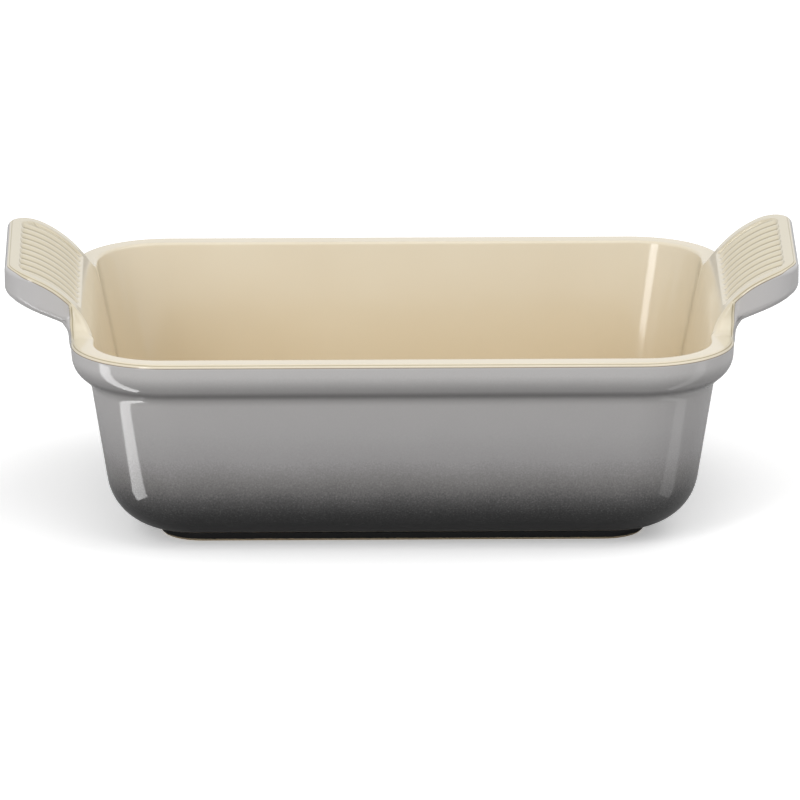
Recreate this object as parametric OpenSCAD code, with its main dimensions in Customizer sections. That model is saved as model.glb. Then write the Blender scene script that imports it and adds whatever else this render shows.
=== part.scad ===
// Rectangular stoneware baking dish: a thick walled basin with a heavy rim collar, two arched and
// reeded handles, a ground foot ring, and three fused glaze coats. Origin at the middle of the
// underside, X along the dish from handle to handle, Y across it, Z up, millimetres.

/* [Dish] */
// Length over the rim, without the handles
rim_length = 267; // [255:1:290]
// Width over the rim
rim_width = 200; // [185:1:220]
// Height of the rim above the table
rim_height = 83.4; // [76:0.2:95]
// Plan radius of the rim's outer corners
rim_corner_r = 38; // [34:0.5:44]
// Plan radius of the rim's inner corners
mouth_corner_r = 28; // [24:0.5:32]
// Width of the flat ledge on top of the rim
ledge_width = 8.1; // [7.4:0.1:9.5]
// Radius that rounds the rim's outer edge
rim_round_r = 2.2; // [1.2:0.1:2.6]
// Radius that rounds the rim's inner edge
lip_r = 1.2; // [0.8:0.1:1.8]

/* [Collar] */
// How far the collar stands out past the wall below it
collar_overhang = 8.2; // [7.6:0.1:9.4]
// Depth of the collar's flat face below the rim
collar_face = 5.8; // [5.2:0.1:8]
// Slope of the collar's face, inward going down, in degrees
collar_draft = 3.5; // [1:0.5:5]
// Radius of the shoulder under the collar's face
shoulder_r = 12; // [9:0.5:13]
// Slope of the collar's underside from upright, in degrees
shoulder_tilt = 46; // [40:1:50]
// Radius of the cove between the collar and the wall
cove_r = 6; // [4:0.5:7]

/* [Walls and floor] */
// Slope of the outside wall, in degrees
wall_draft = 9; // [7:0.5:10]
// Slope of the inside wall, in degrees
inner_draft = 11.5; // [10:0.5:13]
// Radius of the outside where the wall turns under
bottom_r = 26; // [22:0.5:30]
// Radius of the inside where the wall meets the floor
inner_bottom_r = 20; // [14:0.5:24]
// Thickness of the floor with its glaze
floor_thickness = 6.2; // [5:0.1:8]

/* [Foot ring] */
// How far the foot ring stands in from the rim's outline
foot_inset = 36; // [33:0.5:38]
// Width of the foot ring
foot_width = 7.6; // [6.8:0.1:9]
// Height of the underside above the table
foot_height = 3.2; // [2.4:0.1:4.5]
// Bevel on both lower edges of the foot ring
foot_bevel = 0.8; // [0.4:0.1:1.4]

/* [Handles] */
// How far each handle stands out past the rim
handle_reach = 27; // [25:0.5:33]
// Width of each handle
handle_width = 96; // [84:1:104]
// Height of the arched handle's crown above the rim
handle_rise = 25.4; // [22:0.2:28]
// Radius of the arch along the top of the handle
handle_arch_r = 45; // [42:0.5:50]
// Depth below the rim at which the arch leaves the inside wall
arch_depth = 2.4; // [1.8:0.1:2.5]
// Thickness of the handle at its tip
handle_thickness = 12.5; // [11:0.5:14]
// Slope of the handle's underside, in degrees
underside_slope = 22.5; // [14:0.5:24]
// Radius under the handle where it meets the collar
handle_fillet_r = 11; // [7:0.5:12]
// Plan radius of the handle's two tip corners
handle_corner_r = 15; // [12:1:24]
// Radius on the tip's top edge
tip_edge_r = 3; // [1.5:0.5:3]
// Radius on the tip's bottom edge
tip_heel_r = 4; // [3:0.5:10]
// Radius of the sweep by which the rim's ledge rises to the handle's sides
sweep_r = 11; // [7:0.5:12]
// Depth of the seat in the rim that the handle's root fills
root_depth = 3; // [2.8:0.1:4]

/* [Reeded panels] */
// Number of reeds across each handle
reed_count = 10; // [7:1:12]
// Depth of the grooves between the reeds
reed_depth = 0.9; // [0.5:0.1:1.3]
// How far the reeds' crowns lie below the smooth border
panel_sink = 0.4; // [0.2:0.1:0.6]
// Width of the smooth border along the handle's sides
panel_border = 7.5; // [6:0.5:10]
// Width of the smooth border at the handle's tip
tip_border = 6.2; // [5:0.1:9]
// Smooth band between the inside wall and the reeds, along the arch
root_band = 10; // [8:0.5:12]

/* [Glaze] */
// Thickness of the fused glaze coats
glaze = 0.5; // [0.3:0.05:0.6]
// Drop of the cream glaze's edge below the handle's top edge
cream_drop = 1.2; // [0.8:0.1:2]

/* [Hidden] */
half_turn = 180;
quarter_turn = 90;
clay_colour = "#c9b79c";
cream_colour = "#e2d6bd";
grey_colour = "#9c9a9b";
dark_colour = "#3a3839";
bare_colour = "#d8cbb4";
// Share of the inset by which the outside corners tighten on the way down
outer_corner_share = 0.6;
// Share of the inset by which the inside corners tighten on the way down
inner_corner_share = 0.42;
corner_steps = 12;
arc_steps = 8;
shoulder_steps = 4;
cove_steps = 3;
round_steps = 3;
arch_steps = 20;
reed_steps = 6;
sweep_steps = 9;
sweep_bite = 0.3;
overrun = 4;
cream_turn = -15;

half_length = rim_length / 2;
half_width = rim_width / 2;
floor_height = foot_height + floor_thickness;
inner_tilt = inner_draft - half_turn;

// Heights and insets along the outside, from the rim down
face_top_inset = rim_round_r * (1 - cos(collar_draft));
face_top_z = rim_height - rim_round_r * (1 + sin(collar_draft));
face_low_z = rim_height - collar_face;
face_low_inset = face_top_inset + (face_top_z - face_low_z) * tan(collar_draft);
shoulder_inset = face_low_inset + shoulder_r * cos(collar_draft);
shoulder_z = face_low_z + shoulder_r * sin(collar_draft);
shoulder_low_inset = shoulder_inset - shoulder_r * cos(shoulder_tilt);
shoulder_low_z = shoulder_z - shoulder_r * sin(shoulder_tilt);
cove_top_inset = collar_overhang - cove_r * (cos(wall_draft) - cos(shoulder_tilt));
cove_top_z = shoulder_low_z - (cove_top_inset - shoulder_low_inset) / tan(shoulder_tilt);
cove_inset = collar_overhang - cove_r * cos(wall_draft);
cove_z = cove_top_z - cove_r * sin(shoulder_tilt);
wall_top_z = cove_z + cove_r * sin(wall_draft);
bottom_z = foot_height + bottom_r;
turn_z = bottom_z - bottom_r * sin(wall_draft);
bottom_inset = wall_inset(turn_z) + bottom_r * cos(wall_draft);

// Heights and insets down the inside
lip_low_inset = ledge_width + lip_r * cos(inner_draft);
lip_low_z = rim_height - lip_r * (1 - sin(inner_draft));
inner_bottom_z = floor_height + inner_bottom_r;
inner_turn_z = inner_bottom_z - inner_bottom_r * sin(inner_draft);
inner_bottom_inset = inner_inset(inner_turn_z) + inner_bottom_r * cos(inner_draft);

// Frame of the arched handle, seen from the front: x outward, z up
tip_x = half_length + handle_reach;
arch_z = rim_height + handle_rise - handle_arch_r;
arch_foot_z = rim_height - arch_depth;
arch_x = inner_x(arch_foot_z) + sqrt(pow(handle_arch_r, 2) - pow(arch_foot_z - arch_z, 2));
edge_x = tip_x - tip_edge_r;
edge_z = arch_z + sqrt(pow(handle_arch_r - tip_edge_r, 2) - pow(edge_x - arch_x, 2));
edge_turn = atan2(edge_z - arch_z, edge_x - arch_x);
under_tip_z = rim_height + handle_rise - handle_thickness;
heel_x = tip_x - tip_heel_r;
heel_z = under_z(heel_x) + tip_heel_r / cos(underside_slope);
fillet_gap = under_z(0) - handle_fillet_r / cos(underside_slope);
fillet_x = (face_x(fillet_gap) + handle_fillet_r / cos(collar_draft))
    / (1 - tan(underside_slope) * tan(collar_draft));
fillet_z = fillet_gap + fillet_x * tan(underside_slope);
seat_z = rim_height - root_depth;
seat_half = handle_width / 2 + sweep_r;
root_turn = atan2(arch_foot_z - arch_z, inner_x(arch_foot_z) - arch_x);
panel_turn = root_turn - root_band / handle_arch_r * half_turn / PI;
panel_half = handle_width / 2 - panel_border;
reed_pitch = 2 * panel_half / reed_count;

// Inset of the outside wall at a height
function wall_inset(z) = collar_overhang + (wall_top_z - z) * tan(wall_draft);
// Inset of the inside wall at a height, also carried on above the rim
function inner_inset(z) = lip_low_inset + (lip_low_z - z) * tan(inner_draft);
// Distance of the inside end wall, or of the coat's clay side, from the middle of the dish
function inner_x(z, skin = 0) = half_length - inner_inset(z) + skin / cos(inner_draft);
// Distance of the collar's flat face from the middle of the dish
function face_x(z, skin = 0) = half_length - face_top_inset
    + (z - face_top_z) * tan(collar_draft) - skin / cos(collar_draft);
// Height of the handle's underside at a distance from the middle
function under_z(x) = under_tip_z + (x - tip_x) * tan(underside_slope);

// Points on an outward and an inward curving arc: inset, height, and tilt of the surface
function bulge(inset, z, r, from, to, steps) = [
    for (k = [0:steps]) let (t = from + (to - from) * k / steps)
        [inset - r * cos(t), z - r * sin(t), t]
];
function hollow(inset, z, r, from, to, steps) = [
    for (k = [0:steps]) let (t = from + (to - from) * k / steps)
        [inset + r * cos(t), z + r * sin(t), t]
];
// Corner radius of the outline at an inset, outside and inside
function outer_corner(inset) = rim_corner_r - inset * outer_corner_share;
function inner_corner(inset) = mouth_corner_r - (inset - ledge_width) * inner_corner_share;
// A section point moved into the clay by the thickness of the coat: inset, height, corner radius
function outside(p, skin) = let (inset = p.x + skin * cos(p.z))
    [inset, p.y + skin * sin(p.z), outer_corner(inset)];
function inside(p, skin) = let (inset = p.x + skin * cos(p.z))
    [inset, p.y + skin * sin(p.z), inner_corner(inset)];

// Tilt of the turned under surface where it reaches an inset
function turn_at(inset, skin) = acos((bottom_inset - inset) / (bottom_r - skin));
// Stretches of the outside, each from its lower end up
function under_foot(skin) = let (turn = turn_at(foot_inset, skin)) [
    for (k = [0:round_steps]) let (t = quarter_turn + (turn - quarter_turn) * k / round_steps)
        under_point(t, skin)
];
function turned_wall(skin) = let (turn = turn_at(foot_inset, skin)) [
    for (k = [0:arc_steps]) let (t = turn + (wall_draft - turn) * k / arc_steps)
        under_point(t, skin)
];
function under_point(t, skin) = outside(
    [bottom_inset - bottom_r * cos(t), bottom_z - bottom_r * sin(t), t], skin
);
function cove(skin) = [
    for (p = hollow(cove_inset, cove_z, cove_r, wall_draft, shoulder_tilt, cove_steps))
        outside(p, skin)
];
function shoulder(skin) = [
    for (p = bulge(shoulder_inset, shoulder_z, shoulder_r, shoulder_tilt, collar_draft, shoulder_steps))
        outside(p, skin)
];
function rim_round(skin, from, to, steps) = [
    for (p = bulge(rim_round_r, rim_height - rim_round_r, rim_round_r, from, to, steps))
        outside(p, skin)
];
function grey_edge(skin) = rim_round(skin, collar_draft, cream_turn, 1);
function cream_edge(skin) = rim_round(skin, cream_turn, -quarter_turn, round_steps);
// Stretches of the inside, from the ledge down to the floor
function lip(skin) = [
    for (p = bulge(ledge_width, rim_height - lip_r, lip_r, -quarter_turn, inner_tilt, round_steps))
        inside(p, skin)
];
function bowl(skin) = [
    for (p = hollow(inner_bottom_inset, inner_bottom_z, inner_bottom_r, inner_tilt, -quarter_turn, arc_steps))
        inside(p, skin)
];
// Top of the wall behind the collar, level with the clay of the rim
function wall_crest(skin) = let (z = rim_height - skin - skin * sin(wall_draft))
    outside([wall_inset(z), z, wall_draft], skin);

function reversed(list) = [for (k = [len(list) - 1:-1:0]) list[k]];

// One rounded rectangle of points at an inset from the rim's outline
function outline(p) = let (
    r = p.z, x = half_length - p.x - r, y = half_width - p.x - r
) [
    for (q = [0:3], k = [0:corner_steps]) let (
        turn = quarter_turn * (q + k / corner_steps),
        side_x = q == 0 || q == 3 ? x : -x,
        side_y = q < 2 ? y : -y
    ) [side_x + r * cos(turn), side_y + r * sin(turn), p.y]
];

// Two triangles between neighbours a, b of one outline and c, d of the next. The diagonal goes by
// height, so that two pieces that share a surface cut it into the same triangles.
function facets(a, b, c, d, rising) = rising ? [[a, c, d], [a, d, b]] : [[a, c, b], [b, c, d]];

function skin_faces(section, closed) = let (
    n = 4 * (corner_steps + 1), last = len(section) - 1
) [
    for (i = [0:closed ? last : last - 1], k = [0:n - 1]) let (
        j = i == last ? 0 : i + 1, m = (k + 1) % n,
        rising = section[j].y > section[i].y
            || (section[j].y == section[i].y && section[j].x < section[i].x)
    ) each facets(i * n + k, i * n + m, j * n + k, j * n + m, rising)
];

// A section led round the dish as a ring that closes on itself
module band(section) {
    points = [for (p = section) each outline(p)];
    polyhedron(points = points, faces = skin_faces(section, true));
}

// A section led round the dish, closed by a flat face at its first and its last point
module bowl_solid(section) {
    n = 4 * (corner_steps + 1);
    points = [for (p = section) each outline(p)];
    first = [for (k = [0:n - 1]) k];
    last = [for (k = [n - 1:-1:0]) n * (len(section) - 1) + k];
    polyhedron(points = points, faces = concat([first, last], skin_faces(section, false)));
}

// Seats that both handles' roots and sweeps fill in the top of the rim
module root_seats() {
    seat = ledge_width + lip_r + overrun;
    for (side = [0, 1])
        mirror([side, 0, 0])
            translate([half_length - seat, -seat_half, seat_z])
                cube([seat + overrun, 2 * seat_half, root_depth + overrun]);
}

// The fired bowl: floor, turned under wall, and the upright wall behind the collar
module basin_clay() {
    difference() {
        bowl_solid(concat(
            under_foot(glaze), [for (k = [1:arc_steps]) turned_wall(glaze)[k]], [cove(glaze)[0]],
            [wall_crest(glaze)], lip(glaze), bowl(glaze)
        ));
        root_seats();
    }
}

// The heavy band round the rim: rounded edge, flat face, shoulder and cove
module collar_clay() {
    difference() {
        band(concat(
            cove(glaze), shoulder(glaze), grey_edge(glaze), [for (k = [1:round_steps]) cream_edge(glaze)[k]],
            [wall_crest(glaze)]
        ));
        root_seats();
    }
}

// Where the line of the inside wall meets the arch, at a depth below the glazed surface
function root_point(skin) = let (
    r = handle_arch_r - skin, x = inner_x(arch_z, skin) - arch_x, slope = tan(inner_draft),
    a = 1 + pow(slope, 2), b = x * slope, rise = (sqrt(pow(b, 2) - a * (pow(x, 2) - pow(r, 2))) - b) / a
) [arch_x + x + rise * slope, arch_z + rise];

function arc_points(x, z, r, from, to, steps) = [
    for (k = [0:steps]) let (t = from + (to - from) * k / steps) [x + r * cos(t), z + r * sin(t)]
];

// Side view of a handle from its root round the tip to the collar, at a depth below the glaze
function handle_side(skin) = let (
    root = root_point(skin), start = atan2(root.y - arch_z, root.x - arch_x)
) concat(
    arc_points(arch_x, arch_z, handle_arch_r - skin, start, edge_turn, arch_steps),
    arc_points(edge_x, edge_z, tip_edge_r - skin, edge_turn, 0, round_steps),
    arc_points(heel_x, heel_z, tip_heel_r - skin, 0, underside_slope - quarter_turn, arc_steps),
    arc_points(fillet_x, fillet_z, handle_fillet_r + skin, quarter_turn + underside_slope,
        half_turn - collar_draft, arc_steps)
);

// Plan of a handle: square at the root, round at both corners of its tip
module handle_plan(skin) {
    x = tip_x - handle_corner_r;
    y = handle_width / 2 - handle_corner_r;
    translate([0, skin - handle_width / 2])
        square([x, handle_width - 2 * skin]);
    translate([0, -y])
        square([tip_x - skin, 2 * y]);
    for (side = [-1, 1])
        translate([x, side * y])
            circle(r = handle_corner_r - skin, $fn = 64);
}

// Cutter whose underside holds the reeds, turned about the arch's axis and trimmed to the panel
module panel_cutter(skin) {
    crown = handle_arch_r - panel_sink - skin;
    reeds = [
        for (i = [0:reed_count - 1], k = [0:reed_steps]) if (k < reed_steps || i == reed_count - 1)
            let (u = 2 * k / reed_steps - 1)
            [crown - reed_depth * (1 - cos(quarter_turn * u)), (i + k / reed_steps) * reed_pitch - panel_half]
    ];
    top = handle_arch_r + overrun;
    wall = panel_half + panel_border / 2;
    section = concat(
        [[top, -wall], [reeds[0].x, -wall]], reeds, [[reeds[0].x, wall], [top, wall]]
    );
    intersection() {
        translate([arch_x, 0, arch_z])
            rotate([90, 0, 0])
                rotate_extrude(
                    angle = panel_turn - edge_turn + skin / handle_arch_r * half_turn / PI,
                    start = edge_turn, $fn = 180
                )
                    polygon(section);
        translate([panel_border - tip_border, 0, 0])
            linear_extrude(height = rim_height + handle_rise + overrun)
                handle_plan(panel_border - skin);
    }
}

// Outer edge of the ledge, lifted along the collar's face: x and z
function lifted_edge(skin, lift) = [
    for (p = concat(reversed(cream_edge(skin)), [grey_edge(skin)[0]]))
        [half_length - p.x + lift * tan(collar_draft), p.y + lift]
];

// One section of the sweep across the rim, from the seat over the ledge to the collar's face
function sweep_section(skin, y, lift) = let (
    inner = half_length - ledge_width - lip_r - overrun / 2,
    edge = lifted_edge(skin, lift)
) [
    for (p = concat([[inner, seat_z], [inner, edge[0].y]], edge, [[face_x(seat_z, skin), seat_z]]))
        [p.x, y, p.y]
];

// The ledge's sweep up to one side of a handle: rim sections lofted along a quarter circle
module root_sweep(skin) {
    r = sweep_r + skin + sweep_bite;
    sections = concat(
        [
            for (k = [0:sweep_steps]) let (t = -quarter_turn * (1 + k / sweep_steps))
                sweep_section(skin, seat_half + r * cos(t), r + r * sin(t))
        ],
        [sweep_section(skin, handle_width / 2 - overrun, r)]
    );
    m = len(sections[0]);
    last = len(sections) - 1;
    polyhedron(
        points = [for (section = sections) each section],
        faces = concat(
            [[for (i = [m - 1:-1:0]) i]],
            [[for (i = [0:m - 1]) m * last + i]],
            [
                for (k = [0:last - 1], i = [0:m - 1]) let (j = (i + 1) % m)
                    each [
                        [k * m + i, (k + 1) * m + j, (k + 1) * m + i],
                        [k * m + i, k * m + j, (k + 1) * m + j]
                    ]
            ]
        )
    );
}

// A whole handle at a depth below the glaze, its root closed by the given points
module handle_form(skin, root) {
    difference() {
        intersection() {
            rotate([90, 0, 0])
                linear_extrude(height = 2 * seat_half + overrun, center = true)
                    polygon(concat(handle_side(skin), root));
            union() {
                linear_extrude(height = rim_height + handle_rise + overrun)
                    handle_plan(skin);
                for (side = [0, 1])
                    mirror([0, side, 0])
                        root_sweep(skin);
            }
        }
        panel_cutter(skin);
    }
}

module handle_clay() {
    handle_form(glaze, [[face_x(seat_z, glaze), seat_z], [inner_x(seat_z, glaze), seat_z]]);
}

// Section of the glazed rim below the handle's root, seen from the front
module rim_section() {
    polygon([
        [face_x(seat_z), seat_z], [inner_x(seat_z), seat_z],
        [inner_x(face_low_z), face_low_z], [face_x(face_low_z), face_low_z]
    ]);
}

// The coat on a handle: its glazed form without the clay and without the rim beside its root
module handle_coat() {
    fillet_end = handle_fillet_r + glaze;
    difference() {
        handle_form(0, [
            [fillet_x - fillet_end * cos(collar_draft), fillet_z + fillet_end * sin(collar_draft)],
            [face_x(seat_z, glaze), seat_z],
            [inner_x(seat_z), seat_z]
        ]);
        handle_clay();
        for (side = [-1, 1])
            translate([0, side * (handle_width + overrun) / 2 - side * glaze, 0])
                rotate([90, 0, 0])
                    linear_extrude(height = overrun, center = true)
                        rim_section();
    }
}

// Where the front view of the swept ledge is grey: below its edge by the drop of the cream
module swept_front() {
    r = sweep_r + cream_drop;
    right = arc_points(seat_half, rim_height + sweep_r, r, -quarter_turn, -half_turn, sweep_steps);
    top = rim_height + handle_rise + overrun;
    polygon(concat(
        [[seat_half + overrun, 0], [seat_half + overrun, rim_height - cream_drop]],
        right,
        [[right[sweep_steps].x, top], [-right[sweep_steps].x, top]],
        reversed([for (p = right) [-p.x, p.y]]),
        [[-seat_half - overrun, rim_height - cream_drop], [-seat_half - overrun, 0]]
    ));
}

// Where a handle's coat is grey: below the cream edge, and outside the reeded panel
module grey_zone() {
    start_x = half_length - rim_round_r;
    end_x = tip_x - tip_edge_r;
    top = rim_height + handle_rise + overrun;
    difference() {
        intersection() {
            translate([arch_x, 0, arch_z])
                rotate([90, 0, 0])
                    cylinder(
                        r = handle_arch_r - cream_drop, h = 2 * seat_half + overrun, center = true, $fn = 180
                    );
            union() {
                translate([start_x, 0, 0])
                    rotate([90, 0, 90])
                        linear_extrude(height = tip_x - start_x)
                            swept_front();
                rotate([90, 0, 0])
                    linear_extrude(height = handle_width + overrun, center = true)
                        polygon([
                            [face_x(face_low_z), face_low_z], [tip_x + overrun, face_low_z],
                            [tip_x + overrun, top], [face_x(top), top]
                        ]);
            }
        }
        difference() {
            translate([start_x - overrun, -panel_half - 2 * glaze, rim_height])
                cube([end_x + overrun - start_x, 2 * panel_half + 4 * glaze, top - rim_height]);
            translate([arch_x, 0, arch_z])
                rotate([90, 0, 0])
                    cylinder(
                        r = handle_arch_r - panel_sink - reed_depth - 2 * glaze,
                        h = handle_width + overrun, center = true, $fn = 180
                    );
        }
    }
}

module cream_coat() {
    difference() {
        handle_coat();
        grey_zone();
    }
}

module grey_coat() {
    intersection() {
        handle_coat();
        grey_zone();
    }
}

// The ground ring that the dish stands on, bare of glaze
module foot_clay() {
    inner = foot_inset + foot_width;
    band(concat(
        [[inner, foot_height + glaze, outer_corner(inner)]],
        under_foot(glaze),
        [
            [foot_inset, foot_bevel, outer_corner(foot_inset)],
            [foot_inset + foot_bevel, 0, outer_corner(foot_inset + foot_bevel)],
            [inner - foot_bevel, 0, outer_corner(inner - foot_bevel)],
            [inner, foot_bevel, outer_corner(inner)]
        ]
    ));
}

// Cream coat of the inside and of the ledge, open where the handles' roots stand
module liner_coat() {
    difference() {
        bowl_solid(concat(
            reversed(bowl(glaze)), reversed(lip(glaze)), reversed(cream_edge(glaze)),
            cream_edge(0), lip(0), bowl(0)
        ));
        root_seats();
    }
}

// Grey coat of the outside from the foot ring up to the rim's outer edge
module wall_coat() {
    start = fillet_x - (handle_fillet_r + glaze + overrun) * cos(collar_draft);
    start_z = fillet_z + (handle_fillet_r + glaze + overrun) * sin(collar_draft);
    end = fillet_x - (handle_fillet_r - overrun) * cos(collar_draft);
    end_z = fillet_z + (handle_fillet_r - overrun) * sin(collar_draft);
    section = concat(
        turned_wall(0), cove(0), shoulder(0), grey_edge(0),
        reversed(grey_edge(glaze)), reversed(shoulder(glaze)), reversed(cove(glaze)),
        reversed(turned_wall(glaze))
    );
    difference() {
        band(section);
        root_seats();
        for (side = [0, 1])
            mirror([side, 0, 0])
                rotate([90, 0, 0])
                    linear_extrude(height = handle_width - 2 * glaze, center = true)
                        polygon([
                            [start, start_z], [end, end_z],
                            [end, rim_height + overrun], [start, rim_height + overrun]
                        ]);
    }
}

module basin() {
    color(clay_colour) basin_clay();
}

module rim_collar() {
    color(clay_colour) collar_clay();
}

module right_handle() {
    color(clay_colour) handle_clay();
}

module left_handle() {
    color(clay_colour) mirror([1, 0, 0]) handle_clay();
}

module foot_ring() {
    color(bare_colour) foot_clay();
}

module liner_glaze() {
    color(cream_colour) {
        liner_coat();
        cream_coat();
        mirror([1, 0, 0]) cream_coat();
    }
}

module outer_glaze() {
    color(grey_colour) {
        wall_coat();
        grey_coat();
        mirror([1, 0, 0]) grey_coat();
    }
}

module base_glaze() {
    inner = foot_inset + foot_width;
    color(dark_colour)
        translate([0, 0, foot_height])
            linear_extrude(height = glaze)
                polygon([for (p = outline([inner, 0, outer_corner(inner)])) [p.x, p.y]]);
}

basin();
rim_collar();
left_handle();
right_handle();
foot_ring();
liner_glaze();
outer_glaze();
base_glaze();
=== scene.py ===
import math
import bpy
import numpy as np
from mathutils import Matrix, Vector


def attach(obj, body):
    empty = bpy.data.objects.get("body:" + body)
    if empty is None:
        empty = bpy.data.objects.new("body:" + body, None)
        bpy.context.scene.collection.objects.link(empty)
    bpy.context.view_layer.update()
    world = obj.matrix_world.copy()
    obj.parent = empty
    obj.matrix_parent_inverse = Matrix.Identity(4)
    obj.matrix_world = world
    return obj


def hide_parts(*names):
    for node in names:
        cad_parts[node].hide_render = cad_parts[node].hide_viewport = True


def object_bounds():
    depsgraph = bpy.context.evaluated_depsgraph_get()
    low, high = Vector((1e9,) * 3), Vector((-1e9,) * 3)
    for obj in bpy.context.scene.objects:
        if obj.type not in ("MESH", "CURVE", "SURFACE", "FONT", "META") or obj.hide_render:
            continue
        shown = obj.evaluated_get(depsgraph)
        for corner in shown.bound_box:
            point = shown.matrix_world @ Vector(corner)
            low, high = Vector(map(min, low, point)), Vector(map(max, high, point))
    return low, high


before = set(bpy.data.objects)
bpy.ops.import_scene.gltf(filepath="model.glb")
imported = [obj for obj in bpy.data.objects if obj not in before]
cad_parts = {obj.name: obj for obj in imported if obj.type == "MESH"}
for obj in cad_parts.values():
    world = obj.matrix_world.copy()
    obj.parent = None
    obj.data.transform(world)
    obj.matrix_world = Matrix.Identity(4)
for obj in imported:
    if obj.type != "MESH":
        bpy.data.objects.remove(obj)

cad_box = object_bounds()

# The clay body: buff stoneware, slip cast in one piece and fired hard. Basin, rim collar and both
# handles are covered by glaze all over, so their clay only shows where the glaze ends.


def linear(hex_colour):
    """sRGB hex to linear: c / 12.92 below 0.04045, else ((c + 0.055) / 1.055) to the power 2.4."""
    c = np.array([int(hex_colour[i:i + 2], 16) for i in (1, 3, 5)]) / 255
    return [*np.where(c <= 0.04045, c / 12.92, ((c + 0.055) / 1.055) ** 2.4), 1.0]


def add(material, kind, settings=None, **inputs):
    """Add a node and set its properties and inputs. An input goes by its name, or by its number
    after an underscore, and takes a socket to link, a number, or a colour in sRGB hex."""
    node = material.node_tree.nodes.new(kind)
    for name, value in (settings or {}).items():
        if name == "stops":
            band = node.color_ramp.elements
            while len(band) < len(value):
                band.new(0.5)
            for element, (place, colour) in zip(band, value):
                element.position = place
                element.color = linear(colour)
        else:
            setattr(node, name, value)
    for name, value in inputs.items():
        socket = node.inputs[int(name[1:]) if name[1:].isdigit() else name.replace("_", " ")]
        if isinstance(value, bpy.types.NodeSocket):
            material.node_tree.links.new(value, socket)
        else:
            socket.default_value = linear(value) if isinstance(value, str) else value
    return node


def new_material(name):
    """A material with an empty node tree."""
    material = bpy.data.materials.new(name)
    material.use_nodes = True
    material.node_tree.nodes.clear()
    return material


def spots(size_mm):
    """Noise scale, per metre, for spots of a size in mm: a spot is 0.54 of a noise cell across."""
    return 540 / size_mm


def fired_clay():
    """Unglazed fired stoneware: buff and matt, with fine grog specks about 0.6 mm across."""
    m = new_material("fired_buff_stoneware")
    place = add(m, "ShaderNodeTexCoord").outputs["Object"]
    grog = add(m, "ShaderNodeTexNoise", Vector=place, Scale=spots(0.6), Detail=3.0).outputs["Fac"]
    stops = [(0.3, "#a88f6c"), (0.6, "#c6b08c"), (0.8, "#d3c2a2")]
    colour = add(m, "ShaderNodeValToRGB", {"stops": stops}, Fac=grog).outputs["Color"]
    bump = add(m, "ShaderNodeBump", Height=grog, Strength=0.25, Distance=0.0002).outputs["Normal"]
    shader = add(m, "ShaderNodeBsdfPrincipled", Base_Color=colour, Normal=bump, Roughness=0.85, IOR=1.5)
    add(m, "ShaderNodeOutputMaterial", Surface=shader.outputs["BSDF"])
    return m


def coat_node(name, material):
    """Give a CAD node one material."""
    data = bpy.data.objects[name].data
    data.materials.clear()
    data.materials.append(material)


clay = fired_clay()
for name in ("basin", "rim_collar"):
    coat_node(name, clay)

# The glazed surface: everything that shows above the foot ring, as one form in millimetres. The
# section is led round a rounded rectangle, and at both ends the ledge sweeps up into an arched
# handle. The cream coat and the grey coat are cut from this form along the line where they meet.
HALF_LENGTH = 133.5
HALF_WIDTH = round(cad_box[1][1] * 1000, 1)
RIM = 83.4
FLOOR = 9.4
FOOT = 3.2
FOOT_INSET = 36.0
LEDGE = 8.1
LIP_R = 1.2
ROUND_R = 2.2
FACE = 5.8
FACE_DRAFT = math.radians(3.5)
SHOULDER_R = 12.0
SHOULDER_TILT = math.radians(46)
OVERHANG = 8.2
COVE_R = 6.0
WALL_DRAFT = math.radians(9)
BOTTOM_R = 26.0
INNER_DRAFT = math.radians(11.5)
INNER_BOTTOM_R = 20.0
# Plan radii of the corners, outside and inside, and what each loses for a mm further inwards
RIM_CORNER_R = 38.0
RIM_SHRINK = 0.6
MOUTH_CORNER_R = 28.0
MOUTH_SHRINK = 0.42

# The same sizes as a section: distance inwards from the rim's outline, and height
face_top_inset = ROUND_R * (1 - math.cos(FACE_DRAFT))
face_top_z = RIM - ROUND_R * (1 + math.sin(FACE_DRAFT))
face_low_z = RIM - FACE
face_low_inset = face_top_inset + (face_top_z - face_low_z) * math.tan(FACE_DRAFT)
shoulder_at = (
    face_low_inset + SHOULDER_R * math.cos(FACE_DRAFT),
    face_low_z + SHOULDER_R * math.sin(FACE_DRAFT),
)
cove_top_inset = OVERHANG - COVE_R * (math.cos(WALL_DRAFT) - math.cos(SHOULDER_TILT))
shoulder_low = (
    shoulder_at[0] - SHOULDER_R * math.cos(SHOULDER_TILT),
    shoulder_at[1] - SHOULDER_R * math.sin(SHOULDER_TILT),
)
cove_top_z = shoulder_low[1] - (cove_top_inset - shoulder_low[0]) / math.tan(SHOULDER_TILT)
cove_at = (OVERHANG - COVE_R * math.cos(WALL_DRAFT), cove_top_z - COVE_R * math.sin(SHOULDER_TILT))
wall_top_z = cove_at[1] + COVE_R * math.sin(WALL_DRAFT)
turn_z = FOOT + BOTTOM_R * (1 - math.sin(WALL_DRAFT))
bottom_at = (
    OVERHANG + (wall_top_z - turn_z) * math.tan(WALL_DRAFT) + BOTTOM_R * math.cos(WALL_DRAFT),
    FOOT + BOTTOM_R,
)
lip_inset = LEDGE + LIP_R * math.cos(INNER_DRAFT)
lip_z = RIM - LIP_R * (1 - math.sin(INNER_DRAFT))
inner_turn_z = FLOOR + INNER_BOTTOM_R * (1 - math.sin(INNER_DRAFT))
inner_turn_inset = lip_inset + (lip_z - inner_turn_z) * math.tan(INNER_DRAFT)
inner_bottom_inset = inner_turn_inset + INNER_BOTTOM_R * math.cos(INNER_DRAFT)


def inner_x(z):
    """Where the inside wall stands at a height, at the dish's end."""
    return HALF_LENGTH - lip_inset - (lip_z - z) * math.tan(INNER_DRAFT)


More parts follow.
